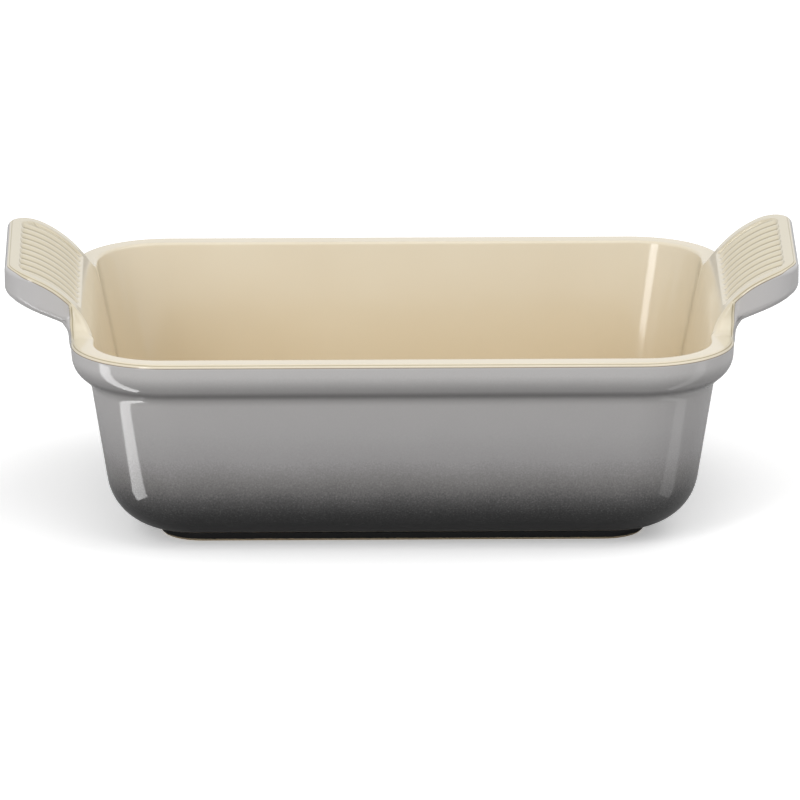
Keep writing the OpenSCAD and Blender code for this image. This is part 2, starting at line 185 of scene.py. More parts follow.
def face_x(z):
    """Where the collar's face stands at a height, at the dish's end."""
    return HALF_LENGTH - face_top_inset + (z - face_top_z) * math.tan(FACE_DRAFT)


def arc(x, z, r, start, end, steps):
    """Points on a circle: centre plus r (cos t, sin t), with t from start to end."""
    t = np.linspace(start, end, steps + 1)
    return np.stack([x + r * np.cos(t), z + r * np.sin(t)], 1)


def line(a, b, steps):
    """Points from a to b: a (1 - t) + b t."""
    t = np.linspace(0, 1, steps + 1)[:, None]
    return np.array(a) * (1 - t) + np.array(b) * t


def both_less(a, b, r):
    """Union of two forms joined by a hollow fillet of radius r, on their signed distances."""
    return np.maximum(r, np.minimum(a, b)) - np.hypot(np.maximum(r - a, 0), np.maximum(r - b, 0))


def both_more(a, b, r):
    """Overlap of two forms with its edge rounded to radius r."""
    return np.minimum(-r, np.maximum(a, b)) + np.hypot(np.maximum(r + a, 0), np.maximum(r + b, 0))


def ease(t):
    """Smooth step from 0 to 1: 3 t squared less 2 t cubed."""
    t = np.clip(t, 0, 1)
    return t * t * (3 - 2 * t)


def outer_line(up=40, down=45):
    """The collar's face, shoulder, cove and wall as one line of (x, z), from above the rim down."""
    x = HALF_LENGTH - shoulder_at[0]
    shoulder = arc(x, shoulder_at[1], SHOULDER_R, -FACE_DRAFT, -SHOULDER_TILT, 24)
    x = HALF_LENGTH - cove_at[0]
    cove = arc(x, cove_at[1], COVE_R, math.pi - SHOULDER_TILT, math.pi - WALL_DRAFT, 16)
    above = [[face_x(RIM + up), RIM + up]]
    below = [[cove[-1][0] - down * math.tan(WALL_DRAFT), cove[-1][1] - down]]
    return np.concatenate([above, shoulder, cove, below])


def distance_to_outer(x, z, path=outer_line()):
    """Signed distance to the outer line: nearest segment, negative on the clay's side."""
    a = path[:-1]
    d = path[1:] - a
    p = np.stack([x, z], -1)[..., None, :] - a
    t = np.clip((p * d).sum(-1) / (d * d).sum(-1), 0, 1)
    away = p - t[..., None] * d
    square = (away ** 2).sum(-1)
    best = square.argmin(-1)[..., None]
    cross = d[:, 0] * p[..., 1] - d[:, 1] * p[..., 0]
    side = np.take_along_axis(np.broadcast_to(cross, square.shape), best, -1)[..., 0]
    return np.sqrt(np.take_along_axis(square, best, -1)[..., 0]) * np.where(side > 0, 1, -1)


# The handle: a tongue with round corners, an arched top, a sloped underside and a rounded heel. Its
# top leaves the inside wall a little below the rim
TIP = round(cad_box[1][0] * 1000, 1)
HANDLE_HALF = 48.0
TIP_CORNER = 15.0
ARCH_R = 45.0
RISE = 25.4
ROOT_Z = RIM - 2.4
THICKNESS = 12.5
SLOPE = math.radians(22.5)
HEEL_R = 3.4
SWEEP_R = 11.0
# The sweep at its sides leans outwards past this place, by twice the lean for each mm
LEAN_X = 135.4
LEAN = 0.8
# Beside the handle, from this distance on and over this width, the plain rim takes over
RIM_FROM = 53.0
RIM_OVER = 6.0

arch_z = RIM + RISE - ARCH_R
arch_x = inner_x(ROOT_Z) + math.sqrt(ARCH_R ** 2 - (ROOT_Z - arch_z) ** 2)
under_tip_z = RIM + RISE - THICKNESS

# The reeded panel, sunk into the handle's top: ten round crowns with narrow valleys between them
PANEL_HALF = 40.5
REEDS = 10
PANEL_ROOT = 129.6
PANEL_TIP = 154.3
PANEL_CORNER = 7.5
PANEL_EDGE = 1.0
ROOT_FADE = 1.8
CROWN_DROP = 0.6
REED_DEPTH = 1.4
VALLEY_ROOT = PANEL_ROOT + 0.5
VALLEY_FADE = 3.0
VALLEY_ROUND = 0.02


def rounded_plan(x, y, tip, half, corner):
    """Signed distance in plan from a tongue that ends at tip with round corners."""
    qx = x - (tip - corner)
    qy = np.abs(y) - (half - corner)
    return np.hypot(np.maximum(qx, 0), np.maximum(qy, 0)) + np.minimum(np.maximum(qx, qy), 0) - corner


def tongue_half(x):
    """Half width of the handle's plan: straight, then a quarter circle at each tip corner."""
    past = np.clip(x - (TIP - TIP_CORNER), 0, TIP_CORNER)
    return HANDLE_HALF - TIP_CORNER + np.sqrt(TIP_CORNER ** 2 - past ** 2)


def panel_field(x, y):
    """1 inside the sunken panel and 0 outside it; and how deep in a valley, from 0 to 1."""
    edge = rounded_plan(x, y, PANEL_TIP, PANEL_HALF, PANEL_CORNER)
    inside = ease(0.5 - edge / PANEL_EDGE) * ease((x - PANEL_ROOT) / ROOT_FADE)
    phase = y / (2 * PANEL_HALF / REEDS)
    across = np.cos(np.pi * (phase - 0.5 - np.floor(phase)))
    crown = np.sqrt(across ** 2 + VALLEY_ROUND) / math.sqrt(1 + VALLEY_ROUND)
    return inside, (1 - crown) * ease((x - VALLEY_ROOT) / VALLEY_FADE)


def top_bound(x, y, z):
    """Above the clay: the ledge swept up to the handle's sides, and the arch along the handle."""
    sweep = both_less(z - RIM, np.abs(y) - HANDLE_HALF, SWEEP_R)
    past = x - LEAN_X
    sweep = sweep - LEAN * (past + np.sqrt(past ** 2 + LEAN))
    inside, valley = panel_field(x, y)
    drop = inside * (CROWN_DROP + REED_DEPTH * valley)
    plain = ease((np.abs(y) - RIM_FROM) / RIM_OVER)
    return sweep, np.hypot(x - arch_x, z - arch_z) - (ARCH_R - drop) - 2.5 * plain


def handle_form(p):
    """Signed distance of an end of the dish with its handle, on points of x, y and z. The hollow at
    the root widens from 0.6 mm above the rim to 6 mm at it and 12.5 mm below. The edge of the top
    is rounded by 1.8 mm, by 3 mm at the tip and by the lip's radius beside the handle."""
    x, y, z = np.moveaxis(p, -1, 0)
    toward_tip = ease((x - TIP + TIP_CORNER) / TIP_CORNER)
    under = (under_tip_z + (x - TIP) * math.tan(SLOPE) - z) * math.cos(SLOPE)
    plan = rounded_plan(x, y, TIP, HANDLE_HALF, TIP_CORNER)
    slab = both_more(plan, under, HEEL_R - 0.5 * toward_tip)
    hollow = 0.6 + 5.4 * ease((RIM + 7 - z) / 6) + 6.5 * ease((RIM + 1 - z) / 8)
    outer = both_less(distance_to_outer(x, z), slab, hollow)
    sweep, arch = top_bound(x, y, z)
    body = both_more(sweep, outer, ROUND_R)
    wall = (inner_x(z) - x) * math.cos(INNER_DRAFT)
    near = np.maximum(LIP_R - np.abs(arch - wall), 0) / LIP_R
    inner = np.maximum(arch, wall) + near * near * LIP_R / 4
    plain = ease((np.abs(y) - RIM_FROM) / RIM_OVER)
    return both_more(body, inner, 1.8 + 1.2 * toward_tip - 0.6 * plain)


def slope_of(form, p, step=0.01):
    """Gradient of a form by central differences."""
    e = np.eye(3) * step
    return np.stack([form(p + e[k]) - form(p - e[k]) for k in range(3)], -1) / (2 * step)


def settle(form, p, rounds=8, free=(1, 1, 1)):
    """Newton steps along the slope of the form until the points lie on its surface."""
    for _ in range(rounds):
        g = slope_of(form, p) * np.array(free)
        f = form(p)
        p = p - np.clip(f / np.maximum((g * g).sum(-1), 0.2), -1.5, 1.5)[..., None] * g
    return p


def joined(*parts):
    """Lines end to end, without the first point of each but the first."""
    return np.concatenate([parts[0]] + [part[1:] for part in parts[1:]])


def arch_turn(x):
    """Angle on the arch's circle above a place."""
    return math.atan2(math.sqrt(ARCH_R ** 2 - (x - arch_x) ** 2), x - arch_x)


# Lines of the handle in its side view and of the plain rim, with the same number of points in each,
# so that one goes over into the other beside the handle. The handle's stretches are the inside wall,
# four on the arch, the rounded tip, the heel, the underside and the hollow up to the collar. They
# are only where the points start: all are settled on the form later
ZONE_LOW = 74.0
ARCH_STOPS = (inner_x(ROOT_Z), 128.4, 134.0, 151.5)
TIP_ROUND = 3.0
HEEL = 3.0
COLLAR_TURN = math.radians(32)
HANDLE_STEPS = (5, 6, 14, 12, 12, 7, 9, 6, 7)
CREST, TIP_TOP, HEEL_LOW, HOLLOW_TOP = np.cumsum(HANDLE_STEPS)[[2, 4, 6, 8]]

tip_x = TIP - TIP_ROUND
tip_z = arch_z + math.sqrt((ARCH_R - TIP_ROUND) ** 2 - (tip_x - arch_x) ** 2)
tip_turn = math.atan2(tip_z - arch_z, tip_x - arch_x)
turns = [arch_turn(x) for x in ARCH_STOPS] + [tip_turn]
heel_z = under_tip_z - HEEL * math.tan(SLOPE) + HEEL / math.cos(SLOPE)
under_from = (TIP - HEEL + HEEL * math.sin(SLOPE), heel_z - HEEL * math.cos(SLOPE))
gap = under_tip_z - TIP * math.tan(SLOPE) - SWEEP_R / math.cos(SLOPE)
hollow_x = (face_x(gap) + SWEEP_R / math.cos(FACE_DRAFT)) / (1 - math.tan(SLOPE) * math.tan(FACE_DRAFT))
hollow_z = gap + hollow_x * math.tan(SLOPE)
hollow_top = (hollow_x - SWEEP_R * math.sin(SLOPE), hollow_z + SWEEP_R * math.cos(SLOPE))
root_point = (inner_x(ROOT_Z), ROOT_Z)
inside_wall = line((inner_x(ZONE_LOW), ZONE_LOW), root_point, HANDLE_STEPS[0])
collar_x = HALF_LENGTH - shoulder_at[0]
collar_low = arc(collar_x, shoulder_at[1], SHOULDER_R, -FACE_DRAFT, -COLLAR_TURN, 6)
handle_line = joined(
    inside_wall,
    *[arc(arch_x, arch_z, ARCH_R, *turns[k:k + 2], HANDLE_STEPS[k + 1]) for k in range(4)],
    arc(tip_x, tip_z, TIP_ROUND, tip_turn, 0, HANDLE_STEPS[5]),
    arc(TIP - HEEL, heel_z, HEEL, 0, SLOPE - math.pi / 2, HANDLE_STEPS[6]),
    line(under_from, hollow_top, HANDLE_STEPS[7]),
    arc(hollow_x, hollow_z, SWEEP_R, math.pi / 2 + SLOPE, math.radians(170), HANDLE_STEPS[8]),
)
handle_line = np.concatenate([handle_line, collar_low[-1:]])
arris = arc(HALF_LENGTH - ROUND_R, RIM - ROUND_R, ROUND_R, math.pi / 2, -FACE_DRAFT, 24)
rim_line = joined(
    inside_wall,
    line(root_point, (inner_x(lip_z), lip_z), 1),
    arc(HALF_LENGTH - LEDGE, RIM - LIP_R, LIP_R, math.pi - INNER_DRAFT, math.pi / 2, 5),
    line((HALF_LENGTH - LEDGE, RIM), (HALF_LENGTH - ROUND_R, RIM), 14),
    arris,
    line(arris[-1], (face_x(face_low_z), face_low_z), 24),
    collar_low,
)

# Across the end: parallel lines over the handle, then curtains down its sides that spread out
# through the hollow sweep into the rim
OVER_HALF = 46.4
CURTAIN = 34
CROWDING = 0.45
BESIDE = 60.0


def along(points, share):
    """Points at shares of the length of a line of (x, z)."""
    d = np.concatenate([[0], np.cumsum(np.hypot(*np.diff(points, axis=0).T))])
    return np.stack([np.interp(share * d[-1], d, points[:, k]) for k in range(2)], -1), d / d[-1]


def side_view_paths(start):
    """Side view of the curtains: from each station inward between crest and underside to the root."""
    w = np.linspace(0, 1, 260) ** 1.6
    station = np.arange(len(start))
    crest = start[CREST:TIP_TOP + 1]
    below = start[HOLLOW_TOP:HEEL_LOW - 1:-1]
    from_root = np.where(station < HEEL_LOW, 1.0, 0.0)
    from_root[CREST:TIP_TOP + 1] = along(crest, np.zeros(1))[1]
    from_root[HEEL_LOW:HOLLOW_TOP + 1] = along(below, np.zeros(1))[1][::-1]
    height = np.interp(station, [TIP_TOP, HEEL_LOW], [1.0, 0.0])
    last = np.interp(station, [CREST, HOLLOW_TOP], [1.0, 0.0])
    left = from_root[:, None] * (1 - ease(w / 0.8))
    gone = 1 - (left / np.maximum(from_root, 1e-6)[:, None]) ** 5
    share = height[:, None] + (last - height)[:, None] * gone
    inside = along(below, left)[0] * (1 - share[..., None])
    inside = inside + along(crest, left)[0] * share[..., None]
    inside = inside + (start[:, None] - inside[:, :1]) * ((1 - w) ** 3)[:, None]
    to_rim = ease((w - 0.25) / 0.75)[:, None]
    curved = inside * (1 - to_rim) + rim_line[:, None] * to_rim
    straight = start[:, None] * (1 - w[:, None]) + rim_line[:, None] * w[:, None]
    by_channel = ((station >= CREST) & (station <= HOLLOW_TOP))[:, None, None]
    return np.where(by_channel, curved, straight), w


def relax(sheet, rounds=25):
    """Draw the points of a sheet towards the middle of their neighbours, where the lines bunch up:
    low on the inside wall (before station 14), under the handle (past 50) and beside it (past 22,
    from the sixth line on). They are settled on the form after every round."""
    station = np.arange(1, len(sheet) - 1)[:, None, None]
    column = np.arange(1, CURTAIN)[:, None]
    beside = ease((station - 22) / 6) * ease((column - 6) / 8)
    share = np.where(station < 14, 1, np.maximum(ease((station - 50) / 6), beside))
    share = 0.6 * share * ease((column - 1) / 7)
    for _ in range(rounds):
        near = sheet[:-2, 1:-1] + sheet[2:, 1:-1] + sheet[1:-1, :-2] + sheet[1:-1, 2:]
        sheet[1:-1, 1:-1] += share * (near / 4 - sheet[1:-1, 1:-1])
        sheet[1:-1, 1:-1] = settle(handle_form, sheet[1:-1, 1:-1], 1)
    return sheet


def end_grid():
    """Grid over one end, stations by lines, from the middle outwards: settled on handle_form."""
    rest = np.linspace(PANEL_HALF, OVER_HALF, 8)[1:]
    place = np.concatenate([np.linspace(0, PANEL_HALF, 51), rest])
    edge = OVER_HALF / HANDLE_HALF * tongue_half(handle_line[:, :1])
    kept = np.minimum(PANEL_HALF, edge - 1.5)
    beyond = kept + (edge - kept) * (place - PANEL_HALF) / (OVER_HALF - PANEL_HALF)
    over = np.empty((len(handle_line), len(place), 3))
    over[..., 0] = handle_line[:, :1]
    over[..., 1] = np.where(place > PANEL_HALF, beyond, place / PANEL_HALF * kept)
    over[..., 2] = handle_line[:, 1:]
    over = settle(handle_form, over, free=(1, 0, 1))
    flat, w = side_view_paths(over[:, -1, ::2])
    near = np.clip(distance_to_outer(flat[..., 0], flat[..., 1]), 0, None)
    above = np.clip(flat[..., 1] - RIM, 0, None)
    near = np.minimum(np.maximum(near, above), SWEEP_R)
    side = tongue_half(flat[..., 0]) + SWEEP_R - np.sqrt(SWEEP_R ** 2 - (SWEEP_R - near) ** 2)
    first = over[:, -1, 1][:, None]
    y = first + (side - first) * ease(w * 12)
    y = y + (BESIDE - y) * ease((w - 0.8) / 0.2) ** 2
    sheet = settle(handle_form, np.stack([flat[..., 0], y, flat[..., 1]], -1))
    step = np.linalg.norm(np.diff(sheet, axis=1), axis=-1)
    run = np.concatenate([np.zeros((len(sheet), 1)), np.cumsum(step, 1)], 1)
    t = np.linspace(0, 1, CURTAIN + 1)
    t = t * (1 - CROWDING) + CROWDING * t * t
    spread = np.stack([
        np.stack([np.interp(t * r[-1], r, row[:, k]) for k in range(3)], 1)
        for r, row in zip(run, sheet)
    ])
    spread[:, 1:] = settle(handle_form, spread[:, 1:])
    spread = relax(spread)
    spread[:, 1:-1] = settle(handle_form, spread[:, 1:-1])
    return over, spread


over, spread = end_grid()
rim_section = settle(handle_form, np.insert(rim_line, 1, BESIDE + 1, axis=1), free=(1, 0, 1))
zone = over.shape[0]
# Stations of the plain rim, counted from the low end of the zone: the first on the ledge, the last
# that is cream for sure, and the first on the rounded edge
LEDGE_FROM = 12
SURELY_CREAM = 24
ARRIS_FROM = 27


def whole_section():
    """Inset and height of every station: floor, inside wall, rim zone, outside wall, foot."""
    floor_z = FLOOR + INNER_BOTTOM_R
    inner_low = arc(inner_bottom_inset, floor_z, INNER_BOTTOM_R, -math.pi / 2, INNER_DRAFT - math.pi, 14)
    inner_wall = line(inner_low[-1], (HALF_LENGTH - inner_x(ZONE_LOW), ZONE_LOW), 9)
    rim = np.stack([HALF_LENGTH - rim_section[:, 0], rim_section[:, 2]], 1)
    shoulder = arc(*shoulder_at, SHOULDER_R, math.pi + COLLAR_TURN, math.pi + SHOULDER_TILT, 3)
    cove = arc(*cove_at, COVE_R, SHOULDER_TILT, WALL_DRAFT, 8)
    at_foot = math.acos((bottom_at[0] - FOOT_INSET) / BOTTOM_R)
    low = arc(*bottom_at, BOTTOM_R, math.pi + WALL_DRAFT, math.pi + at_foot, 16)
    wall = line(cove[-1], low[0], 10)
    first = len(inner_low) + len(inner_wall) - 2
    parts = [inner_low, inner_wall[1:-1], rim, shoulder[1:], cove, wall[1:-1], low]
    return np.concatenate(parts), first


def whole_grid(short_end=62.0, softened=0.3):
    """Every station led round the rounded rectangle, with the handle grids set into both ends. Each
    point has its place, its exact normal where the handle's form gives one, and a turn of its normal
    about Z. Where an end is shorter than short_end, its lines are drawn together."""
    section, first = whole_section()
    inset, z = section.T
    # the corner radius goes over from the inside's to the outside's across the flat ledge
    outside = ease((LEDGE - inset) / (LEDGE - ROUND_R))
    outside[first + ARRIS_FROM:] = 1
    mouth_r = MOUTH_CORNER_R - MOUTH_SHRINK * (inset - LEDGE)
    r = mouth_r * (1 - outside) + (RIM_CORNER_R - RIM_SHRINK * inset) * outside
    straight_y = HALF_WIDTH - inset - r
    straight_x = HALF_LENGTH - inset - r
    end = np.concatenate([over, spread[:, 1:]], 1)
    lines = end.shape[1]
    y_line = np.concatenate([over[0, :, 1], spread[0, 1:, 1]])
    y_line = y_line * BESIDE / y_line[-1]
    low_end = np.empty((len(inset), lines, 3))
    low_end[..., 0] = (HALF_LENGTH - inset)[:, None]
    low_end[..., 1] = y_line * np.minimum(1, straight_y / short_end)[:, None]
    low_end[..., 2] = z[:, None]
    low_end[first:first + zone] = end
    turn = np.linspace(0, math.pi / 2, 19)
    corner = np.stack([
        straight_x[:, None] + r[:, None] * np.cos(turn),
        straight_y[:, None] + r[:, None] * np.sin(turn),
        np.broadcast_to(z[:, None], (len(z), len(turn))),
    ], -1)
    share = np.linspace(1, 0, 6)[1:]
    side = np.stack([
        straight_x[:, None] * share,
        np.broadcast_to((HALF_WIDTH - inset)[:, None], (len(z), len(share))),
        np.broadcast_to(z[:, None], (len(z), len(share))),
    ], -1)
    quarter = np.concatenate([low_end, corner, side], 1)
    normals = np.zeros_like(quarter)
    normals[first:first + zone, :lines] = slope_of(handle_form, end)
    # the glaze softens the start of each inside corner: its curvature grows and falls away smoothly
    bend = np.cumsum(ease(np.linspace(0, 3, 901)) * ease(np.linspace(3, 0, 901)))
    eased = (bend / bend[-1])[::50] * math.pi / 2
    twist = np.zeros(quarter.shape[:2] + (1,))
    twist[:first + LEDGE_FROM, lines:lines + len(turn), 0] = softened * (eased - turn)
    quarter = np.concatenate([quarter, normals, twist], -1)
    flip_x = quarter[:, -2::-1] * (-1, 1, 1, -1, 1, 1, -1)
    half = np.concatenate([quarter, flip_x], 1)
    flip_y = half[:, -2:0:-1] * (1, -1, 1, 1, -1, 1, -1)
    return np.concatenate([half, flip_y], 1), first


grid, first = whole_grid()
grid, true_normals, twist = np.split(grid, [3, 6], -1)
rows, cols = grid.shape[:2]

# The glazes meet this far below the top on the rounded edge. On the handle the line leans outwards
# past the collar's face, and from 8 mm before the tip it lies higher
ARRIS_DROP = 1.35
MEETING_LEAN = 1.5
MEETING_X = 133.8
TIP_SHARE = 0.8


def edge_distance(p):
    """How far below the line where the glazes meet a point lies: cream below 0, grey above."""
    x, y, z = np.moveaxis(p, -1, 0)
    x = np.abs(x)
    y = np.abs(y)
    sweep, arch = top_bound(x, y, z)
    sweep = sweep - MEETING_LEAN * np.maximum(x - MEETING_X, 0)
    deep = np.where(y > BESIDE - 1, RIM - z, -np.maximum(sweep, arch))
    deep = deep * (1 + TIP_SHARE * ease((x - TIP + 8) / 5)) - ARRIS_DROP
    row = np.arange(rows)[:, None]
    deep = np.where(row < first + SURELY_CREAM, -np.abs(deep) - 3, deep)
    deep = np.where(row >= first + zone, np.maximum(deep, 1), deep)
    return np.where(np.abs(deep) < 0.03, np.copysign(0.03, deep), deep)


def glazed_sheet():
    """The grid and a pole in the floor's middle as points, edge distances and triangles."""
    index = np.arange(rows * cols).reshape(rows, cols)
    a = index[:-1]
    b = np.roll(index, -1, 1)[:-1]
    c = index[1:]
    d = np.roll(index, -1, 1)[1:]
    pole = np.stack([np.full(cols, rows * cols), index[0], np.roll(index[0], -1)], -1)
    tri = np.concatenate([
        pole, np.stack([a, c, b], -1).reshape(-1, 3), np.stack([b, c, d], -1).reshape(-1, 3)
    ])
    points = np.concatenate([grid.reshape(-1, 3), [[0, 0, FLOOR]]])
    return points, np.concatenate([edge_distance(grid).ravel(), [-20]]), tri


def point_normals(points, tri):
    """Unit normals at the points: the sum of the crosses of the triangles round each."""
    p = points[tri]
    face = np.cross(p[:, 1] - p[:, 0], p[:, 2] - p[:, 0])
    total = np.stack([
        sum(np.bincount(tri[:, k], face[:, axis], len(points)) for k in range(3))
        for axis in range(3)
    ], 1)
    return total / np.linalg.norm(total, axis=1, keepdims=True)


def split_at_edge(points, normals, deep, tri):
    """Cut every triangle that the glazes' edge crosses, so that each lies on one side of it."""
    above = deep[tri] > 0
    count = above.sum(1)
    crossed = (count == 1) | (count == 2)
    odd = (above[crossed] == (count[crossed] == 1)[:, None]).argmax(1)
    v = np.take_along_axis(tri[crossed], (odd[:, None] + np.arange(3)) % 3, 1)
    pairs = np.sort(np.concatenate([v[:, [0, 1]], v[:, [0, 2]]]), 1)
    pairs, place = np.unique(pairs, axis=0, return_inverse=True)
    one, two = len(points) + place.reshape(2, -1)
    t = (deep[pairs[:, 0]] / (deep[pairs[:, 0]] - deep[pairs[:, 1]]))[:, None]
    whole = np.column_stack([points, normals, deep])
    whole = np.concatenate([whole, whole[pairs[:, 0]] * (1 - t) + whole[pairs[:, 1]] * t])
    tri = np.concatenate([
        tri[~crossed], np.stack([v[:, 0], one, two], 1), np.stack([one, v[:, 1], v[:, 2]], 1),
        np.stack([one, v[:, 2], two], 1),
    ])
    lone = count[crossed] == 1
    grey = np.concatenate([count[~crossed] == 3, lone, ~lone, ~lone])
    return whole[:, :3], whole[:, 3:6], whole[:, 6], tri, grey


points, deep, tri = glazed_sheet()
normals = point_normals(points, tri)
known = np.flatnonzero(np.abs(true_normals).sum(-1).ravel())
normals[known] = true_normals.reshape(-1, 3)[known]
normals /= np.linalg.norm(normals, axis=1, keepdims=True)
turned = np.append(twist.ravel(), 0)
normals[:, :2] = np.stack([
    normals[:, 0] * np.cos(turned) - normals[:, 1] * np.sin(turned),
    normals[:, 0] * np.sin(turned) + normals[:, 1] * np.cos(turned),
], 1)
points, normals, deep, tri, is_grey = split_at_edge(points, normals, deep, tri)

# The cream coat: a gloss glaze poured into the dish and wiped off along the rim's edge. It covers
# the inside, the ledge and the tops of the handles, as a closed skin fused to the clay.
COAT = 0.45


def border_of(faces, n):
    """Edges that only one triangle uses, as point pairs."""
    edges = np.concatenate([faces[:, [0, 1]], faces[:, [1, 2]], faces[:, [2, 0]]])
    return edges[~np.isin(edges[:, 0] * n + edges[:, 1], edges[:, 1] * n + edges[:, 0])]


def placed(name, data):
    """An object in the scene for a mesh, a lamp or a camera."""
    thing = bpy.data.objects.new(name, data)
    bpy.context.scene.collection.objects.link(thing)
    return thing


def smooth_piece(name, place, faces, corner_normals):
    """A mesh from places in mm, shaded with a normal of its own at each corner of each face."""
    mesh = bpy.data.meshes.new(name)
    mesh.from_pydata(place / 1000, [], faces.tolist())
    mesh.polygons.foreach_set("use_smooth", np.ones(len(faces), bool))
    mesh.normals_split_custom_set(corner_normals.reshape(-1, 3).tolist())
    piece = placed(name, mesh)
    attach(piece, "root")
    return piece


def coat_shell(name, faces):
    """A closed coat: the sheet, the sheet again at a depth below it, and a wall round its edge."""
    used, faces = np.unique(faces, return_inverse=True)
    faces = faces.reshape(-1, 3)
    n = len(used)
    a, b = border_of(faces, n).T
    wall = np.concatenate([np.stack([b, a, a + n], 1), np.stack([b, a + n, b + n], 1)])
    place = np.concatenate([points[used], points[used] - COAT * normals[used]])
    p = place[wall]
    flat = np.cross(p[:, 1] - p[:, 0], p[:, 2] - p[:, 0])
    flat = flat / np.maximum(np.linalg.norm(flat, axis=1, keepdims=True), 1e-9)
    under = faces[:, ::-1] + n
    corner_normals = np.concatenate([
        normals[used][faces], -normals[used][faces[:, ::-1]], np.repeat(flat[:, None], 3, 1)
    ])
    coat = smooth_piece(name, place, np.concatenate([faces, under, wall]), corner_normals)
    inside, valley = panel_field(np.abs(points[used, 0]), points[used, 1])
    # Valley depth on upward faces: glaze pooled between the reeds, darkened further as painted shade in
    # the valleys.
    pooled = inside * valley * (normals[used, 2] > 0.2)
    for attribute, value in (("edge_mm", deep[used]), ("pooled", pooled)):
        layer = coat.data.attributes.new(attribute, "FLOAT", "POINT")
        layer.data.foreach_set("value", np.tile(value, 2).astype(np.float32))
    return coat


def away_from(material, value, middle):
    """How far a value lies from a middle: the difference without its sign."""
    off = add(material, "ShaderNodeMath", {"operation": "SUBTRACT"}, _0=value, _1=middle).outputs[0]
    return add(material, "ShaderNodeMath", {"operation": "ABSOLUTE"}, _0=off).outputs[0]


def tinted(material, colour, tints):
    """Lay tints over a colour, each given as a value, two levels of it, the tint's share at either
    level, and its sRGB hex. Between the levels the share follows a smooth step."""
    for value, low, high, at_low, at_high, tint in tints:
        share = add(
            material, "ShaderNodeMapRange", {"interpolation_type": "SMOOTHSTEP"},
            Value=value, From_Min=low, From_Max=high, To_Min=at_low, To_Max=at_high,
        ).outputs["Result"]
        mix = add(material, "ShaderNodeMix", {"data_type": "RGBA"}, _0=share, _6=colour, _7=tint)
        colour = mix.outputs[2]
    return colour


def cream_glaze():
    """Warm cream gloss glaze, poured: faint clouds about 25 mm across, darkened towards tan low in the
    basin as painted shade, greyer on the handles, brown where it pools between the reeds and darker
    there as painted shade, and tan where it breaks over the arris and runs out at its edge."""
    m = new_material("cream_gloss_glaze")
    place = add(m, "ShaderNodeTexCoord").outputs["Object"]
    xyz = add(m, "ShaderNodeSeparateXYZ", Vector=place).outputs
    edge = add(m, "ShaderNodeAttribute", {"attribute_name": "edge_mm"}).outputs["Fac"]
    pooled = add(m, "ShaderNodeAttribute", {"attribute_name": "pooled"}).outputs["Fac"]
    cloud = add(m, "ShaderNodeTexNoise", Vector=place, Scale=spots(24.5), Detail=2.0).outputs["Fac"]
    stops = [(0.3, "#dfd4bd"), (0.7, "#e2d8c2")]
    colour = add(m, "ShaderNodeValToRGB", {"stops": stops}, Fac=cloud).outputs["Color"]
    colour = tinted(m, colour, [
        # Painted shade: the cream turns darker tan low in the basin.
        (xyz["Z"], 0.03, 0.084, 0.5, 0.0, "#cdb893"),
        # Greyer towards and over the handles.
        (away_from(m, xyz["X"], 0.0), 0.124, 0.136, 0.0, 0.6, "#cac2aa"),
        # Brown in the reed valleys: pooled glaze, deepened as painted shade.
        (pooled, 0.4, 0.85, 0.0, 0.9, "#7f7356"),
        (away_from(m, edge, -0.98), 0.0, 0.26, 1.0, 0.0, "#a79a7c"),
        (away_from(m, edge, 0.0), 0.0, 0.3, 1.0, 0.0, "#8f8170"),
    ])
    ripple = add(m, "ShaderNodeTexNoise", Vector=place, Scale=spots(12), Detail=1.0).outputs["Fac"]
    bump = add(m, "ShaderNodeBump", Height=ripple, Strength=0.3, Distance=0.0003).outputs["Normal"]
    shader = add(m, "ShaderNodeBsdfPrincipled", Base_Color=colour, Normal=bump, Roughness=0.12, IOR=1.5)
    add(m, "ShaderNodeOutputMaterial", Surface=shader.outputs["BSDF"])
    return m


cream = coat_shell("cream_glaze_coat", tri[~is_grey])
cream.data.materials.append(cream_glaze())
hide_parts("liner_glaze")

# The clay of both handles: part of the cast body, under the glaze on all sides. Each is the glazed
# form over one end again, a little deeper than the coats and closed to a point inside the rim.
CORE = 0.5
HEART_X = 127.0
HEART_Z = 79.0


def handle_core(name, middle):
    """The sheet's part over one end, round a middle line, let down by the glaze and closed."""
    reach = over.shape[1] + spread.shape[1] - 2
    index = np.arange(rows * cols).reshape(rows, cols)
    lines = np.arange(middle - reach, middle + reach + 1)
    patch = np.take(index[first + 3:first + zone], lines, 1, mode="wrap")
    a, b, c, d = patch[:-1, :-1], patch[:-1, 1:], patch[1:, :-1], patch[1:, 1:]
    halves = [np.stack([a, c, b], -1), np.stack([b, c, d], -1)]
    faces = np.concatenate([half.reshape(-1, 3) for half in halves])
    used, faces = np.unique(faces, return_inverse=True)
    faces = faces.reshape(-1, 3)
    place = points[used] - CORE * normals[used]
    heart = (math.copysign(HEART_X, place[:, 0].mean()), 0.0, HEART_Z)
    a, b = border_of(faces, len(used)).T
    faces = np.concatenate([faces, np.stack([b, a, np.full(len(a), len(used))], 1)])
    place = np.concatenate([place, [heart]])
    core = smooth_piece(name + "_clay", place, faces, point_normals(place, faces)[faces])
    core.data.materials.append(clay)
    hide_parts(name)


handle_core("right_handle", 0)
handle_core("left_handle", cols // 2)

# The grey coat: a gloss glaze sprayed on the outside, the handles' sides and undersides, with a dark
# one fogged over it from below, so that it goes to near black at the foot with a fine speckle.


